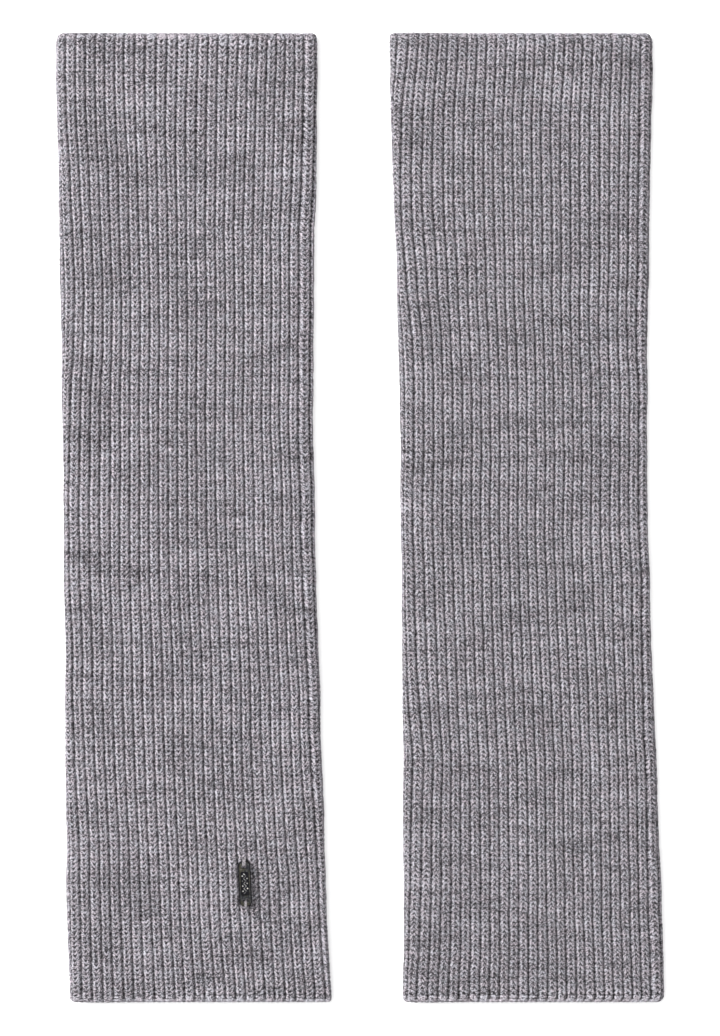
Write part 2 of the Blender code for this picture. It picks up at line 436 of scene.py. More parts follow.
def stitch_depth(rng, on_legs):
    """How deep every point lies under the crests. No two stitches are the same."""
    count = len(on_legs)
    from_hem, from_cuff = courses_from_ends(count)
    column = np.arange(PER_RIB)
    valley = np.minimum(column, PER_RIB - column)[None, None, :] <= 1
    depth = np.where(on_legs, np.array(LEG_DEPTH), np.array(GAP_DEPTH))
    depth = np.repeat(depth, RIBS, axis=1)

    hole = 1.0 + HOLE_VARIES * rng.uniform(-1.0, 1.0, (count, RIBS, 1))
    hole *= ease(np.minimum(from_hem, from_cuff))[:, None, None]
    middle = (column == MIDDLE_COLUMN)[None, None, :]
    depth = np.where(middle & ~on_legs, depth * hole, depth)
    fullness = LEG_VARIES * rng.standard_normal((count, RIBS, PER_RIB))
    plump = PLUMPNESS * closed_wander(rng, count, RIBS, 5.0, 1.0)[:, :, None]
    ragged = VALLEY_VARIES * rng.uniform(-1.0, 1.0, (count, RIBS, 1)) * valley
    most = 2.0 * LEG_VARIES
    depth = np.maximum(depth + np.clip(fullness, -most, most) + plump + ragged, 0.0)

    from_hem, from_cuff = from_hem[:, None, None], from_cuff[:, None, None]
    depth += HEM_HOLE * np.exp(-(((from_hem - 0.5) / HEM_HOLE_REACH) ** 2)) * (column == 0)
    depth *= 1.0 - CUFF_SOFTENED * ease(1.0 - from_cuff / CUFF_SOFT_REACH) * valley
    depth += CUFF_GROOVE * np.exp(-(((from_cuff - 0.5) / CUFF_GROOVE_REACH) ** 2))
    depth[:, 0, 0] += SEAM_DEPTH
    depth[:, 0, 1] += 0.5 * SEAM_DEPTH
    depth[:, -1, -1] += 0.5 * SEAM_DEPTH
    return depth


def stitch_rise(tube, up):
    """How far every point stands above its row, which leans the legs into chevrons.

    Towards both ends the chevrons straighten, where the edge's loops hold them.
    """
    count = len(up)
    from_end = np.minimum(*courses_from_ends(count))
    aside = np.abs(2.0 * np.array(ACROSS_RIB) - 1.0)[None, None, :] - 0.5
    pitch = 2.0 * np.gradient(up)
    lean = (tube.chevron * pitch * ease(from_end / 2.6))[:, None, None]
    uneven = HEIGHT_VARIES * tube.rng.standard_normal((count, RIBS, PER_RIB)).clip(-1.5, 1.5)
    drift = COURSE_DRIFT * closed_wander(tube.rng, count, RIBS, 34.0, 6.0)[:, :, None]
    held = ease(from_end / 3.0)[:, None, None]
    return lean * aside + (uneven + drift) * held


def pressed_under(badge, points):
    """The upper panel's points, kept under the badge and rising again around it."""
    x, y = badge.centre
    across = np.maximum(np.abs(points[..., 0] - x) - PRESSED_HALF_WIDTH, 0.0)
    along = np.maximum(np.abs(points[..., 1] - y) - PRESSED_HALF_LENGTH, 0.0)
    away = np.hypot(across, along) / PRESSED_REACH
    ceiling = badge.low - PRESSED_GAP + PRESSED_RISE * ease(away)
    upper = points[..., 2] > PRESSED_ABOVE
    points[..., 2] = np.where(upper, np.minimum(points[..., 2], ceiling), points[..., 2])
    return points


def knit_rows(tube, badge=None):
    """All points of one tube's knit: rows alternate between the gap under a course and its legs."""
    up = course_heights(tube)
    on_legs = (np.arange(len(up)) % 2 == 1)[:, None, None]
    scallop = np.where(on_legs, 1.0, -1.0) * np.array(SCALLOP)[None, None, :]
    around = tube.around(up, scallop)
    depth = stitch_depth(tube.rng, on_legs).reshape(len(up), -1)
    rise = stitch_rise(tube, up).reshape(len(up), -1)
    points = tube.skin(up, around, depth, rise)
    return pressed_under(badge, points) if badge else points


# Edges of the tubes: the profile of the lip from the last course to inside the mouth

HEM_PROFILE = (
    # back from the end, depth into the wall, share of the chain's relief, share of the ribs' relief
    (1.05, 0.06, 0.2, 0.75),
    (0.75, 0.1, 0.7, 0.55),
    (0.4, 0.24, 1.0, 0.4),
    (0.15, 0.5, 0.9, 0.3),
    (0.0, 0.9, 0.5, 0.2),
    (0.05, 1.4, 0.2, 0.1),
    (0.45, 1.9, 0.1, 0.04),
    (1.4, 2.05, 0.0, 0.1),
    (3.2, 2.1, 0.0, 0.2),
    (7.0, 2.1, 0.0, 0.2),
    (12.0, 2.1, 0.0, 0.2),
)
CUFF_PROFILE = (
    # back from the end, depth into the wall, share of the chain's relief, share of the ribs' relief
    (0.7, 0.02, 0.2, 0.5),
    (0.4, 0.14, 0.5, 0.4),
    (0.15, 0.4, 0.9, 0.3),
    (0.0, 0.8, 1.0, 0.25),
    (0.0, 1.25, 0.6, 0.2),
    (0.2, 1.7, 0.3, 0.15),
    (0.7, 2.0, 0.1, 0.1),
    (1.6, 2.1, 0.0, 0.1),
    (3.2, 2.1, 0.0, 0.2),
    (7.0, 2.1, 0.0, 0.2),
    (12.0, 2.1, 0.0, 0.2),
)
HEM_SCALLOP = 0.16
CUFF_SCALLOP = 0.34
INSIDE_WALL = 2.0

# The edge's loops, two a rib: how they slant from row to row, how deep they dip and how high they
# reach, and how much that varies
LOOPS_A_RIB = 2
LOOP_SLANT = 0.16
LOOP_DEPTH = 0.17
LOOP_DEPTH_VARIES = 0.3
LOOP_REACH = 0.09
LOOP_REACH_VARIES = 0.06


def edge_rows(tube, knit_points, profile, end):
    """Rows of points from the knit's last row, round the lip and up inside the mouth."""
    column = np.tile(np.array(ACROSS_RIB), RIBS)
    rib_relief = np.tile(np.array(LEG_DEPTH), RIBS)
    number = LOOPS_A_RIB * (np.repeat(np.arange(RIBS), PER_RIB) + column)
    straight = np.zeros((1, 1, PER_RIB))
    loops = tube.rng.uniform(-1.0, 1.0, LOOPS_A_RIB * RIBS)
    own = loops[number.astype(int) % len(loops)]
    dips = rib_relief * (HEM_SCALLOP if end < 0 else CUFF_SCALLOP)
    rows = [knit_points[0 if end < 0 else -1]]
    for index, (back, depth, chain, ribs) in enumerate(profile):
        up = np.array([end * (HALF_LENGTH - back)])
        loop = chain * (1.0 - np.cos(2.0 * math.pi * (number + LOOP_SLANT * index)))
        relief = ribs * rib_relief
        if depth > INSIDE_WALL:
            whole = depth - relief
        else:
            whole = depth + LOOP_DEPTH * loop * (1.0 + LOOP_DEPTH_VARIES * own) + relief
        rise = LOOP_REACH_VARIES * own * chain - end * (dips * min(1.0, 1.6 * ribs) + LOOP_REACH * loop)
        rows.append(tube.skin(up, tube.around(up, straight), whole[None, :], rise[None, :])[0])
    return np.array(rows)


# Meshes


def add_grid(name, points, columns, course, material, closed=False, outward=True):
    """A mesh of four-sided faces on rows of points, with its stitch and unrolled maps."""
    rows, count = points.shape[:2]
    across = count if closed else count - 1
    mesh = bpy.data.meshes.new(name)
    i, j = np.meshgrid(np.arange(rows - 1), np.arange(across), indexing="ij")
    after = (j + 1) % count
    corners = [(i, j, j), (i + 1, j, j), (i + 1, after, j + 1), (i, after, j + 1)]
    if not outward:
        corners = corners[::-1]
    faces = np.stack([(row * count + column).ravel() for row, column, _ in corners], axis=1)
    mesh.vertices.add(rows * count)
    mesh.vertices.foreach_set("co", (points * MM).ravel())
    mesh.loops.add(faces.size)
    mesh.loops.foreach_set("vertex_index", faces.ravel().astype(np.int32))
    mesh.polygons.add(len(faces))
    mesh.polygons.foreach_set("loop_start", np.arange(0, faces.size, 4, dtype=np.int32))
    mesh.update(calc_edges=True)

    stitch = mesh.uv_layers.new(name="stitch")
    unrolled = mesh.uv_layers.new(name="OFBake")
    row = np.stack([row.ravel() for row, _, _ in corners], axis=1)
    column = np.stack([unwrapped.ravel() for _, _, unwrapped in corners], axis=1)
    stitch.data.foreach_set("uv", np.stack([columns[column], course[row]], axis=-1).ravel())
    flat = np.stack([0.004 + 0.992 * column / across, 0.004 + 0.992 * row / (rows - 1)], axis=-1)
    unrolled.data.foreach_set("uv", flat.ravel())
    mesh.uv_layers.active = stitch
    stitch.active_render = True

    mesh.validate()
    mesh.shade_smooth()
    mesh.materials.append(material)
    piece = bpy.data.objects.new(name, mesh)
    bpy.context.scene.collection.objects.link(piece)
    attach(piece, "root")
    return piece


def warmer(side, tube, knit_material, edge_material, badge=None):
    """One arm warmer: its upper and lower panels, its bound-off hem and its cast-on cuff edge."""
    points = knit_rows(tube, badge)
    course = np.arange(len(points)) / 2.0
    whole = np.arange(RIBS * PER_RIB)
    number = whole // PER_RIB + np.array(ACROSS_RIB)[whole % PER_RIB]
    for label, first, ribs in (("upper", -1, UPPER_RIBS), ("lower", UPPER_RIBS - 1, RIBS - UPPER_RIBS)):
        pick = np.arange(first * PER_RIB, (first + ribs) * PER_RIB + 1)
        columns = number[pick % len(whole)] + RIBS * (pick // len(whole))
        panel = points[:, pick % len(whole)]
        piece = add_grid(f"{side}_{label}_panel", panel, columns, course, knit_material)
    columns = np.concatenate([number, [RIBS]])
    upper_half = RIBS * PER_RIB // 2
    for label, profile, end in (("hem_chain", HEM_PROFILE, -1.0), ("cuff_edge", CUFF_PROFILE, 1.0)):
        rows = edge_rows(tube, points, profile, end)
        step = np.linalg.norm(np.diff(rows[:, :upper_half], axis=0), axis=2).mean(axis=1)
        along = np.concatenate([[0.0], np.cumsum(step)]) / COURSE_PITCH
        piece = add_grid(
            f"{side}_{label}", rows, columns, along, edge_material, closed=True, outward=end > 0
        )
    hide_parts(tube.node)


# Materials


class Nodes:
    """Short calls for wiring one node tree."""

    def __init__(self, tree):
        self.tree = tree

    def add(self, kind, inputs=(), **settings):
        node = self.tree.nodes.new(kind)
        for key, value in settings.items():
            setattr(node, key, value)
        for socket, value in dict(inputs).items():
            self.set(node.inputs[socket], value)
        return node

    def set(self, socket, value):
        if isinstance(value, bpy.types.NodeSocket):
            self.tree.links.new(value, socket)
        else:
            socket.default_value = value

    def math(self, operation, *values, clamp=False):
        node = self.add("ShaderNodeMath", operation=operation, use_clamp=clamp)
        for socket, value in zip(node.inputs, values):
            self.set(socket, value)
        return node.outputs[0]

    def ramp(self, value, low, high, start=0.0, end=1.0):
        """A smooth step from start to end as value goes from low to high."""
        settings = {"Value": value, "From Min": low, "From Max": high, "To Min": start, "To Max": end}
        node = self.add("ShaderNodeMapRange", settings, interpolation_type="SMOOTHSTEP")
        return node.outputs["Result"]

    def noise(self, vector, scale, detail=2.0, roughness=0.5, distortion=0.0):
        settings = {
            "Vector": vector, "Scale": scale, "Detail": detail,
            "Roughness": roughness, "Distortion": distortion,
        }
        return self.add("ShaderNodeTexNoise", settings).outputs["Fac"]

    def scaled(self, vector, x, y, z):
        settings = {0: vector, 1: (x, y, z)}
        return self.add("ShaderNodeVectorMath", settings, operation="MULTIPLY").outputs[0]

    def place(self):
        """Places on the piece in millimetres, so that grain keeps its real size."""
        here = self.add("ShaderNodeTexCoord").outputs["Object"]
        return self.scaled(here, 1.0 / MM, 1.0 / MM, 1.0 / MM)

    def mix(self, share, first, second, blend="MIX"):
        node = self.add("ShaderNodeMix", data_type="RGBA", blend_type=blend, clamp_factor=False)
        self.set(node.inputs["Factor"], share)
        self.set(socket_named(node.inputs, "A"), first)
        self.set(socket_named(node.inputs, "B"), second)
        return socket_named(node.outputs, "Result")


def socket_named(sockets, name):
    """A Mix node's colour socket: the node has several sockets of each name."""
    return [socket for socket in sockets if socket.name == name and socket.type == "RGBA"][0]


def new_group(name, inputs, outputs):
    group = bpy.data.node_groups.new(name, "ShaderNodeTree")
    for label, kind, value in inputs:
        socket = group.interface.new_socket(label, in_out="INPUT", socket_type=kind)
        if value is not None:
            socket.default_value = value
    for label, kind in outputs:
        group.interface.new_socket(label, in_out="OUTPUT", socket_type=kind)
    wire = Nodes(group)
    source = wire.add("NodeGroupInput").outputs
    sink = wire.add("NodeGroupOutput").inputs
    return group, wire, source, sink


def heather_wool_group():
    """Soft mottled wool: streaks of lighter and darker fibre along the courses, and fine fibres."""
    group, wire, source, sink = new_group(
        "heather wool",
        (
            ("Stitch", "NodeSocketVector", None),
            ("Place", "NodeSocketVector", None),
            ("Dark Fibre", "NodeSocketColor", (0.1, 0.1, 0.1, 1.0)),
            ("Light Fibre", "NodeSocketColor", (0.5, 0.5, 0.5, 1.0)),
            ("Tinted Fibre", "NodeSocketColor", (0.5, 0.5, 0.5, 1.0)),
            ("Mottling", "NodeSocketFloat", 1.0),
        ),
        (("Colour", "NodeSocketColor"), ("Fibre Height", "NodeSocketFloat")),
    )
    stitch, place = source["Stitch"], source["Place"]
    parts = wire.add("ShaderNodeSeparateXYZ", {0: stitch}).outputs
    turned = wire.math("MULTIPLY_ADD", parts[0], 1.7, wire.math("MULTIPLY", parts[1], 3.3))
    twisted = wire.add(
        "ShaderNodeCombineXYZ", {0: wire.math("MULTIPLY", parts[0], 3.0), 1: turned, 2: parts[2]}
    )
    streak = wire.noise(wire.scaled(stitch, 0.19, 0.75, 1.0), 1.0, 2.0, 0.6)
    blotch = wire.noise(wire.scaled(stitch, 0.12, 0.14, 1.0), 1.0, 2.0, 0.5)
    fibre = wire.ramp(wire.noise(twisted.outputs[0], 1.0, 1.0, 0.7), 0.3, 0.7)
    strand = wire.noise(wire.scaled(stitch, 2.2, 1.6, 1.0), 1.0, 2.0, 0.6)
    fleck = wire.ramp(wire.noise(place, 2.5, 1.0, 0.4), 0.3, 0.7)
    tint = wire.ramp(wire.noise(place, 0.4, 2.0, 0.6), 0.35, 0.65)
    cell = wire.add(
        "ShaderNodeVectorMath", {0: wire.scaled(stitch, 2.0, 1.0, 0.0)}, operation="FLOOR"
    ).outputs[0]
    own = wire.add("ShaderNodeTexWhiteNoise", {"Vector": cell}).outputs["Value"]

    level = 0.5
    shares = ((streak, 1.2), (blotch, 0.75), (fibre, 0.9), (strand, 0.2), (fleck, 1.3), (own, 0.1))
    for value, share in shares:
        centred = wire.math("MULTIPLY", wire.math("SUBTRACT", value, 0.5), share)
        level = wire.math("MULTIPLY_ADD", centred, source["Mottling"], level)
    level = wire.math("MAXIMUM", wire.math("MINIMUM", level, 1.05), 0.0)
    light = wire.mix(tint, source["Light Fibre"], source["Tinted Fibre"])
    colour = wire.mix(level, source["Dark Fibre"], light)
    height = wire.math("MULTIPLY_ADD", fleck, 0.3, wire.math("MULTIPLY", fibre, 0.9))
    wire.set(sink["Colour"], colour)
    wire.set(sink["Fibre Height"], wire.math("MULTIPLY_ADD", strand, 0.3, height))
    return group


def rib_stitch_group():
    """Where a point lies on its stitch: how shut-in it is, as masks for the painted shade in its valleys,
    holes and gaps and at the seam, and how high its leg and ply stand.
    """
    group, wire, source, sink = new_group(
        "rib stitch",
        (("Stitch", "NodeSocketVector", None), ("Lean", "NodeSocketFloat", 1.0)),
        (
            ("Valley", "NodeSocketFloat"),
            ("Hole", "NodeSocketFloat"),
            ("Gap", "NodeSocketFloat"),
            ("Seam", "NodeSocketFloat"),
            ("Ply Height", "NodeSocketFloat"),
        ),
    )
    parts = wire.add("ShaderNodeSeparateXYZ", {0: source["Stitch"]}).outputs
    rib, course = parts[0], parts[1]
    across = wire.math("SUBTRACT", wire.math("FRACT", rib), 0.5)
    aside = wire.math("MULTIPLY", wire.math("ABSOLUTE", across), 2.0)
    from_gap = wire.math("SUBTRACT", wire.math("FRACT", wire.math("ADD", course, 0.5)), 0.5)
    off_gap = wire.math("ABSOLUTE", from_gap)
    edge = wire.math("MULTIPLY_ADD", off_gap, -0.3, wire.math("ADD", aside, 0.12))
    ragged = wire.math("SUBTRACT", wire.noise(source["Stitch"], 2.0, 2.0, 0.6), 0.5)
    valley = wire.ramp(wire.math("MULTIPLY_ADD", ragged, 0.8, edge), 0.66, 0.98)
    depth = wire.ramp(wire.noise(source["Stitch"], 1.7, 1.0, 0.6), 0.3, 0.65, 0.6, 1.35)
    valley = wire.math("MULTIPLY", valley, depth)
    valley = wire.math("MULTIPLY", valley, wire.ramp(course, COURSES - 0.1, COURSES - 1.4, 0.35, 1.0))

    # The hole in the middle of each stitch lies in the gap above its legs, and slides with their lean.
    slid = wire.math("MULTIPLY_ADD", wire.math("MULTIPLY", from_gap, source["Lean"]), 0.35, across)
    wide = wire.math("POWER", wire.math("DIVIDE", slid, 0.185), 2.0)
    tall = wire.math("POWER", wire.math("DIVIDE", off_gap, 0.4), 2.0)
    away = wire.math("ADD", wide, tall)
    cell = wire.add("ShaderNodeCombineXYZ")
    wire.set(cell.inputs[0], wire.math("FLOOR", rib))
    wire.set(cell.inputs[1], wire.math("FLOOR", wire.math("ADD", course, 0.5)))
    own = wire.add("ShaderNodeTexWhiteNoise", {"Vector": cell.outputs[0]}).outputs["Value"]
    past_hem = wire.ramp(course, 0.2, 0.7)
    before_cuff = wire.ramp(course, COURSES - 0.2, COURSES - 0.7)
    hole = wire.math("MULTIPLY", wire.ramp(away, 1.2, 0.1), wire.ramp(own, -1.3, 0.5))
    hole = wire.math("MULTIPLY", hole, wire.math("MULTIPLY", past_hem, before_cuff))
    gap = wire.ramp(off_gap, 0.24, 0.0)

    twist = wire.math("MULTIPLY_ADD", aside, 2.6, course)
    ply = wire.math("SINE", wire.math("MULTIPLY", twist, 4.0 * math.pi))
    # Painted shade: the ribs next to the seam valley at the right fold are darkened, as that fold lies in
    # shade
    from_seam = wire.math("PINGPONG", rib, RIBS / 2.0)
    wire.set(sink["Seam"], wire.ramp(from_seam, 1.1, 0.3))
    wire.set(sink["Valley"], valley)
    wire.set(sink["Hole"], hole)
    wire.set(sink["Gap"], gap)
    wire.set(sink["Ply Height"], ply)
    return group


GROUPS = {"heather wool": heather_wool_group(), "rib stitch": rib_stitch_group()}


def new_material(name):
    material = bpy.data.materials.new(name)
    material.use_nodes = True
    wire = Nodes(material.node_tree)
    return material, wire, material.node_tree.nodes["Principled BSDF"].inputs


def grouped(wire, name, inputs):
    node = wire.add("ShaderNodeGroup", node_tree=GROUPS[name])
    for socket, value in inputs.items():
        wire.set(node.inputs[socket], value)
    return node.outputs


DARK_FIBRE = (0.045, 0.041, 0.047, 1.0)
LIGHT_FIBRE = (0.545, 0.493, 0.542, 1.0)
TINTED_FIBRE = (0.518, 0.509, 0.562, 1.0)
THREAD_FIBRE = (0.6, 0.555, 0.59, 1.0)
# Painted shade: the colour the knit darkens towards in its valleys, holes and gaps and at the seam
PAINTED_SHADE = (0.05, 0.045, 0.052, 1.0)

# How far each shut-in part of a stitch, and the seam at the right fold, darkens with painted shade, and
# how much fibres and plies stand up
KNIT_VALLEY_SHADE = 0.73
EDGE_VALLEY_SHADE = 0.25
SEAM_SHADE = 0.16
HOLE_SHADE = 0.89
GAP_SHADE = 0.04
FIBRE_RELIEF = 0.5
PLY_RELIEF = 0.12


def wool_material(name, shift, lean=None):
    """Heather wool with painted shade. With a lean it has the rib's stitches, without one only the rib's
    valleys.
    """
    material, wire, shader = new_material(name)
    stitch = wire.add("ShaderNodeUVMap", uv_map="stitch").outputs[0]
    place = wire.place()
    moved = wire.add("ShaderNodeVectorMath", {0: stitch, 1: (shift, 3.0 * shift, shift)}, operation="ADD")
    wool = grouped(
        wire,
        "heather wool",
        {
            "Stitch": moved.outputs[0], "Place": place, "Dark Fibre": DARK_FIBRE,
            "Light Fibre": LIGHT_FIBRE, "Tinted Fibre": TINTED_FIBRE, "Mottling": 1.0 if lean else 0.6,
        },
    )
    height = wire.math("MULTIPLY", wool["Fibre Height"], FIBRE_RELIEF)
    rib = grouped(wire, "rib stitch", {"Stitch": stitch, "Lean": lean or 0.0})
    # Painted shade: the colour is multiplied towards the shade colour in the valleys, at the seam, in the
    # holes and in the gaps
    shade = wire.math("MULTIPLY", rib["Valley"], KNIT_VALLEY_SHADE if lean else EDGE_VALLEY_SHADE)
    shade = wire.math("MULTIPLY_ADD", rib["Seam"], SEAM_SHADE, shade)
    if lean is not None:
        shade = wire.math("MAXIMUM", shade, wire.math("MULTIPLY", rib["Hole"], HOLE_SHADE))
        shade = wire.math("ADD", shade, wire.math("MULTIPLY", rib["Gap"], GAP_SHADE), clamp=True)
        height = wire.math("MULTIPLY_ADD", rib["Ply Height"], PLY_RELIEF, height)
    colour = wire.mix(shade, wool["Colour"], PAINTED_SHADE, "MULTIPLY")
    bump = wire.add("ShaderNodeBump", {"Strength": 1.0, "Distance": 0.0004, "Height": height})
    wire.set(shader["Base Color"], colour)
    wire.set(shader["Normal"], bump.outputs[0])
    shader["Roughness"].default_value = 0.92
    shader["Sheen Weight"].default_value = 0.25
    shader["Sheen Roughness"].default_value = 0.5
    shader["Specular IOR Level"].default_value = 0.2
    return material


COOL_PLATING = (0.017, 0.018, 0.021, 1.0)
WARM_PLATING = (0.036, 0.034, 0.024, 1.0)
WORN_PLATING = (0.16, 0.16, 0.155, 1.0)
# Nearly black: the sunk face's colour, and also the painted shade of the rim and the sloped walls
SUNK_AND_SHADED_PLATING = (0.012, 0.012, 0.014, 1.0)


def from_plate_middle(wire, badge, place):
    """How far a place is outside the plate's straight-sided middle, so PLATE_CORNER at its outline."""
    lean = math.radians(BADGE_LEAN)
    offset = wire.add("ShaderNodeVectorMath", {0: place, 1: (*badge.centre, 0.0)}, operation="SUBTRACT")
    reach = wire.add("ShaderNodeCombineXYZ")
    across = (math.cos(lean), math.sin(lean), 0.0)
    along = (-math.sin(lean), math.cos(lean), 0.0)
    for socket, (axis, straight) in enumerate(zip((across, along), PLATE_STRAIGHT)):
        on_axis = wire.add(
            "ShaderNodeVectorMath", {0: offset.outputs[0], 1: axis}, operation="DOT_PRODUCT"
        )
        past = wire.math("SUBTRACT", wire.math("ABSOLUTE", on_axis.outputs["Value"]), straight)
        wire.set(reach.inputs[socket], wire.math("MAXIMUM", past, 0.0))
    length = wire.add("ShaderNodeVectorMath", {0: reach.outputs[0]}, operation="LENGTH")
    return length.outputs["Value"]


def gunmetal_material(badge):
    """Dark plated metal: worn on flat faces, warmer in patches, nearly black in the sunk face, and with
    painted shade darkening the rim and the sloped walls.
    """
    material, wire, shader = new_material("dark gunmetal badge")
    place = wire.place()
    height = wire.add("ShaderNodeSeparateXYZ", {0: place}).outputs[2]
    facing = wire.add("ShaderNodeSeparateXYZ", {0: wire.add("ShaderNodeNewGeometry").outputs["Normal"]})
    slope = wire.math("ABSOLUTE", facing.outputs[2])
    below_rim = wire.ramp(height, badge.top - 0.12, badge.top - 0.28)
    sunk = wire.math("MULTIPLY", below_rim, wire.ramp(slope, 0.9, 0.99))
    outward = from_plate_middle(wire, badge, place)
    # Painted shade: a ring along the top face's outline and every sloped wall go nearly black, like the
    # shade round the plate
    rim = wire.ramp(outward, PLATE_CORNER - 0.6, PLATE_CORNER - 0.25, 0.0, 0.9)
    patch = wire.ramp(wire.noise(place, 0.35, 2.0, 0.6), 0.42, 0.62)
    rubbed = wire.noise(place, 1.6, 3.0, 0.65)
    wear = wire.math("MULTIPLY", wire.ramp(slope, 0.8, 0.98), wire.ramp(rubbed, 0.48, 0.68))
    wall_shade = wire.ramp(slope, 0.9, 0.4)
    dark = wire.math("MAXIMUM", rim, wire.math("MAXIMUM", sunk, wall_shade))
    colour = wire.mix(patch, COOL_PLATING, WARM_PLATING)
    colour = wire.mix(wire.math("MULTIPLY", wear, 0.6), colour, WORN_PLATING)
    colour = wire.mix(dark, colour, SUNK_AND_SHADED_PLATING)
    bump = wire.add("ShaderNodeBump", {"Strength": 0.4, "Distance": 0.0001, "Height": rubbed})
    wire.set(shader["Base Color"], colour)
    wire.set(shader["Roughness"], wire.ramp(rubbed, 0.3, 0.7, 0.32, 0.5))
    wire.set(shader["Normal"], bump.outputs[0])
    shader["Metallic"].default_value = 1.0
    return material


def steel_material(name, bright, tarnished):
    """Brighter worn metal of what stands up in the sunk face."""
    material, wire, shader = new_material(name)
    place = wire.place()
    tarnish = wire.ramp(wire.noise(place, 1.1, 2.0, 0.6), 0.4, 0.62)
    wire.set(shader["Base Color"], wire.mix(tarnish, (*bright, 1.0), (*tarnished, 1.0)))
    wire.set(shader["Roughness"], wire.ramp(wire.noise(place, 3.0, 2.0, 0.6), 0.3, 0.7, 0.3, 0.5))
    shader["Metallic"].default_value = 1.0
    return material


def thread_material():
    """Light grey sewing thread with a few darker fibres."""
    material, wire, shader = new_material("light sewing thread")
    place = wire.place()
    wool = grouped(
        wire,
        "heather wool",
        {
            "Stitch": wire.scaled(place, 1.1, 0.8, 1.1), "Place": place, "Dark Fibre": DARK_FIBRE,
            "Light Fibre": THREAD_FIBRE, "Tinted Fibre": THREAD_FIBRE, "Mottling": 0.45,
        },
    )
    bump = wire.add(
        "ShaderNodeBump", {"Strength": 0.8, "Distance": 0.0003, "Height": wool["Fibre Height"]}
    )
    wire.set(shader["Base Color"], wool["Colour"])
    wire.set(shader["Normal"], bump.outputs[0])
    shader["Roughness"].default_value = 0.9
    shader["Sheen Weight"].default_value = 0.25
    return material


# The badge's trim: a generic row of studs along a zigzag ridge, and the thread that holds it


class BadgeFrame:
    """Turns places along and across the badge, and up from its top face, into points of the frame."""

    def __init__(self):
        low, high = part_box("badge_plate")
        middle = (low + high) / 2.0 / MM
        self.low, self.top = low.z / MM, high.z / MM
        self.centre = (middle.x, middle.y)

    def point(self, across, along, over):
        turn = math.radians(BADGE_LEAN)
        x = self.centre[0] + across * math.cos(turn) - along * math.sin(turn)
        y = self.centre[1] + across * math.sin(turn) + along * math.cos(turn)
        return Vector((x, y, self.top + over)) * MM


def round_wires(name, routes, radius, material, sides=8):
    """Closed round tubes along smooth routes, joined as one mesh; their ends are capped."""
    shape = bmesh.new()
    for route in routes:
        rings = []
        for i, place in enumerate(route):
            along = (route[min(i + 1, len(route) - 1)] - route[max(i - 1, 0)]).normalized()
            side = along.cross(Vector((0.0, 0.0, 1.0)))
            side = side.normalized() if side.length > 0.01 else Vector((1.0, 0.0, 0.0))
            other = side.cross(along)
            turns = [2.0 * math.pi * k / sides for k in range(sides)]
            rings.append([
                shape.verts.new(place + radius * MM * (math.cos(a) * side + math.sin(a) * other))
                for a in turns
            ])
        for ring, after in zip(rings, rings[1:]):
            for k in range(sides):
                j = (k + 1) % sides
                shape.faces.new((ring[k], ring[j], after[j], after[k]))
        shape.faces.new(rings[0][::-1])
        shape.faces.new(rings[-1])
    return badge_piece(name, shape, material)


def badge_piece(name, shape, material):
    bmesh.ops.recalc_face_normals(shape, faces=shape.faces)
    mesh = bpy.data.meshes.new(name)
    shape.to_mesh(mesh)
    shape.free()
    mesh.shade_smooth()
    mesh.materials.append(material)
    piece = bpy.data.objects.new(name, mesh)
    bpy.context.scene.collection.objects.link(piece)
    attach(piece, "root")
    return piece


def badge_trim(badge):
    """A zigzag ridge in the sunk face with a stud in each of its bends."""
    dull = steel_material("dull steel ridge", (0.4, 0.4, 0.4), (0.09, 0.09, 0.09))
    bright = steel_material("bright steel studs", (0.8, 0.79, 0.76), (0.12, 0.12, 0.115))
    bends = [FACE_HALF_LENGTH * (2.0 * i / ZIGZAG_BENDS - 1.0) for i in range(ZIGZAG_BENDS + 1)]
    sides = [ZIGZAG_REACH * (1.0 if i % 2 else -1.0) for i in range(ZIGZAG_BENDS + 1)]
    ridge = [badge.point(across, along, RIDGE_HEIGHT) for across, along in zip(sides, bends)]
    round_wires("badge_ridge", [ridge], RIDGE_RADIUS, dull)
    shape = bmesh.new()
    for across, along in list(zip(sides, bends))[1:-1]:
        place = badge.point(-across * STUD_SHARE, along, RIDGE_HEIGHT)
        matrix = Matrix.Translation(place) @ Matrix.Diagonal((1.0, 1.0, STUD_FLATNESS, 1.0))
        bmesh.ops.create_uvsphere(
            shape, u_segments=12, v_segments=8, radius=STUD_RADIUS * MM, matrix=matrix
        )
    badge_piece("badge_studs", shape, bright)


def badge_thread(badge):
    """Strands out of each sewing slot, over the end of the plate and down into the knit."""
    thread = thread_material()
    rng = np.random.default_rng(THREAD_SEED)
    for label, end in (("upper", 1.0), ("lower", -1.0)):
        routes = []
        strands = THREAD_STRANDS[label]
        for strand in range(strands):
            across = THREAD_SPREAD * (strand - (strands - 1) / 2.0) + rng.uniform(-0.06, 0.06)
            lift, reach = rng.uniform(0.0, 0.12), rng.uniform(-0.15, 0.25)
            loop = [(along, over + lift * (over > -0.2)) for along, over in THREAD_LOOP]
            loop[-1] = (loop[-1][0] + reach, loop[-1][1])
            knots = []
            for i, (along, over) in enumerate(loop):
                splayed = across * (1.0 + THREAD_SPLAY * i)
                knots.append(badge.point(splayed, end * along, over))
            routes.append(smooth_route(knots, 4))
        round_wires(f"badge_thread_{label}", routes, THREAD_RADIUS, thread)


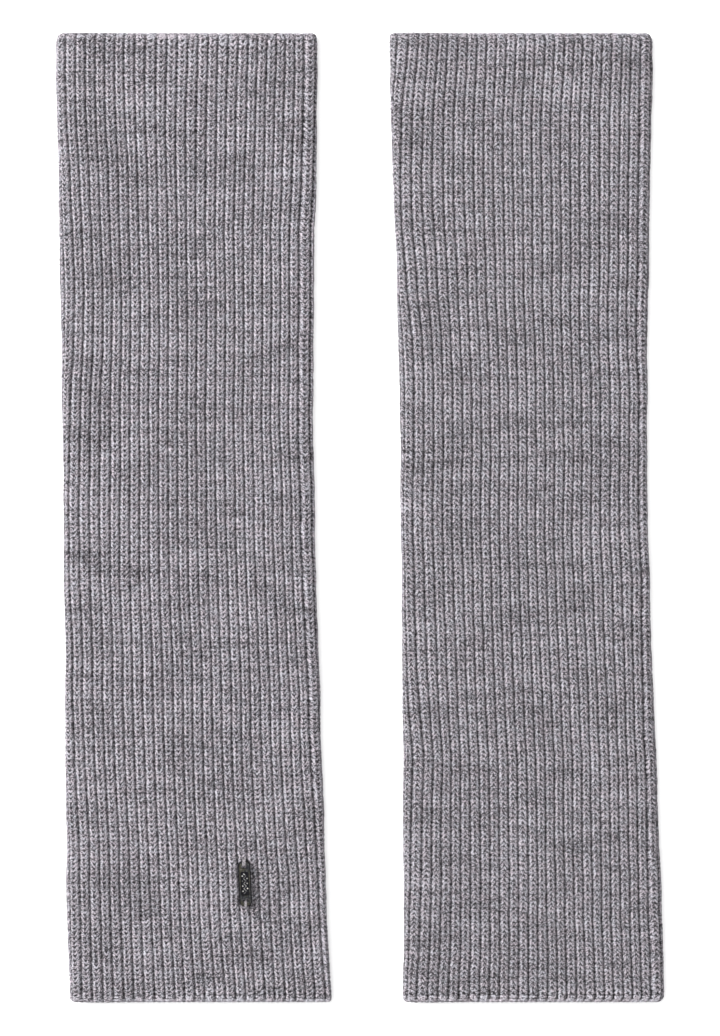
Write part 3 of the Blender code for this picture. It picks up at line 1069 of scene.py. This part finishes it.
def smooth_route(knots, steps):
    """A smooth curve through the knots (Catmull-Rom)."""
    places = []
    for i in range(len(knots) - 1):
        a, b = knots[max(i - 1, 0)], knots[i]
        c, d = knots[i + 1], knots[min(i + 2, len(knots) - 1)]
        for k in range(steps):
            t = k / steps
            places.append(
                0.5 * (2.0 * b + (c - a) * t + (2.0 * a - 5.0 * b + 4.0 * c - d) * t**2
                       + (3.0 * b - a - 3.0 * c + d) * t**3)
            )
    return places + [knots[-1]]


# The floor, the light and the camera, with sizes in metres and power in watts

FLOOR_HALF = 12.0
FLOOR_BELOW = 0.00005
WORLD_STRENGTH = 0.6
KEY_LIGHT = {"place": (-2.2, 0.9, 1.6), "size": (1.2, 1.2), "power": 131.0}
OVERHEAD_LIGHT = {"place": (-0.1, 0.0, 1.9), "size": (1.6, 1.6), "power": 15.5}
CAMERA_LENS = 100.0
CAMERA_SENSOR = 36.0
CAMERA_UP = -0.0002
SHOWN_LENGTH = 0.3841
KNIT_TOP = 0.0049


def paper_floor():
    mesh = bpy.data.meshes.new("floor")
    corners = ((-1.0, -1.0), (1.0, -1.0), (1.0, 1.0), (-1.0, 1.0))
    mesh.from_pydata([(FLOOR_HALF * x, FLOOR_HALF * y, 0.0) for x, y in corners], [], [(0, 1, 2, 3)])
    material, _, shader = new_material("white studio floor")
    shader["Base Color"].default_value = (0.93, 0.93, 0.93, 1.0)
    shader["Roughness"].default_value = 0.9
    shader["Specular IOR Level"].default_value = 0.1
    shader["Emission Color"].default_value = (1.0, 1.0, 1.0, 1.0)
    shader["Emission Strength"].default_value = 0.25
    mesh.materials.append(material)
    floor = bpy.data.objects.new("floor", mesh)
    bpy.context.scene.collection.objects.link(floor)
    floor.location.z = -FLOOR_BELOW


def soft_box(name, place, size, power):
    light = bpy.data.lights.new(name, "AREA")
    light.shape = "RECTANGLE"
    light.size, light.size_y = size
    light.energy = power
    lamp = bpy.data.objects.new(name, light)
    bpy.context.scene.collection.objects.link(lamp)
    lamp.location = place
    lamp.rotation_euler = (-Vector(place)).to_track_quat("-Z", "Y").to_euler()


def studio():
    scene = bpy.context.scene
    world = bpy.data.worlds.new("studio")
    world.use_nodes = True
    background = world.node_tree.nodes["Background"].inputs
    background["Color"].default_value = (1.0, 1.0, 1.0, 1.0)
    background["Strength"].default_value = WORLD_STRENGTH
    scene.world = world
    soft_box("key from the upper left", **KEY_LIGHT)
    soft_box("overhead", **OVERHEAD_LIGHT)
    scene.view_settings.view_transform = "Standard"


def overhead_camera():
    """Straight down on the pair; the picture's long side is SHOWN_LENGTH at the height of the knit."""
    data = bpy.data.cameras.new("overhead camera")
    data.lens = CAMERA_LENS
    data.sensor_width = CAMERA_SENSOR
    data.clip_start, data.clip_end = 0.05, 20.0
    camera = bpy.data.objects.new("overhead camera", data)
    bpy.context.scene.collection.objects.link(camera)
    camera.location = (0.0, CAMERA_UP, KNIT_TOP + SHOWN_LENGTH * CAMERA_LENS / CAMERA_SENSOR)
    bpy.context.scene.camera = camera


def main():
    paper_floor()
    studio()
    overhead_camera()
    badge = BadgeFrame()
    left = KnitTube("left_arm_warmer", LEFT_KNIT, 1.2, LEFT_CORNERS, LEFT_TROUGHS, 11)
    right = KnitTube("right_arm_warmer", RIGHT_KNIT, -1.15, RIGHT_CORNERS, RIGHT_TROUGHS, 23)
    edge_wool = wool_material("heather wool edge", 0.37)
    warmer("left", left, wool_material("left rib knit", 0.0, 1.0), edge_wool, badge)
    warmer("right", right, wool_material("right rib knit", 57.0, -1.0), edge_wool)
    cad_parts["badge_plate"].material_slots[0].material = gunmetal_material(badge)
    badge_trim(badge)
    badge_thread(badge)


main()
